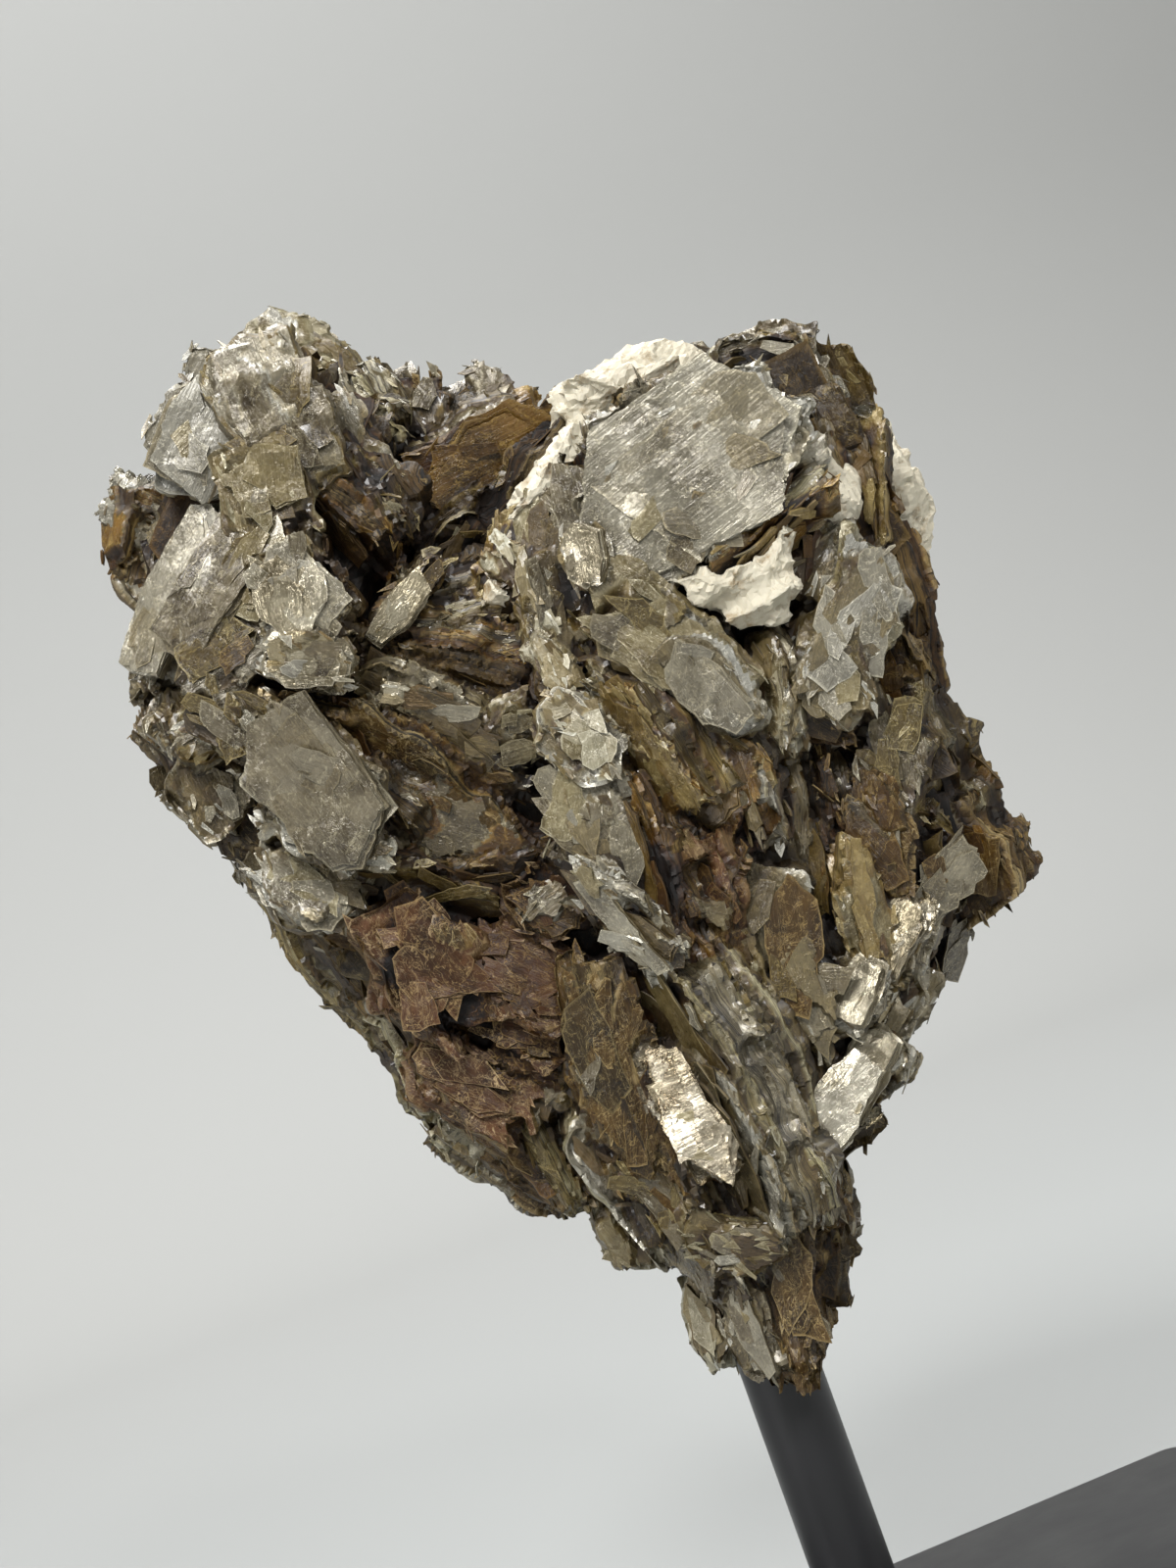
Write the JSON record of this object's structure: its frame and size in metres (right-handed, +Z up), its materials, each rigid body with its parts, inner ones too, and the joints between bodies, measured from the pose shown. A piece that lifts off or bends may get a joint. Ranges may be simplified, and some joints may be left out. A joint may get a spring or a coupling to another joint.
{
  "type": "mica crystal on a stand",
  "caption": "Cluster of stacked muscovite mica sheets with white feldspar, held upright by a round post on a flat base plate.",
  "frame": {"origin": "centre of the base plate's underside, on the post's axis", "axes": "+Z up along the post, front facing -Y, the base plate's width along X and its depth along Y"},
  "size_m": [0.1, 0.08, 0.1567],
  "materials": {
    "black_steel": "black powder coat, satin",
    "white_feldspar": "white to cream mineral, rough with flat broken faces",
    "mica": "pearly grey, olive and brown cleavage sheets with layered edges"
  },
  "bodies": {
    "root": {"base_plate": "black_steel", "post": "black_steel", "feldspar_matrix": "white_feldspar", "mica_cluster": "mica"}
  },
  "joints": []
}
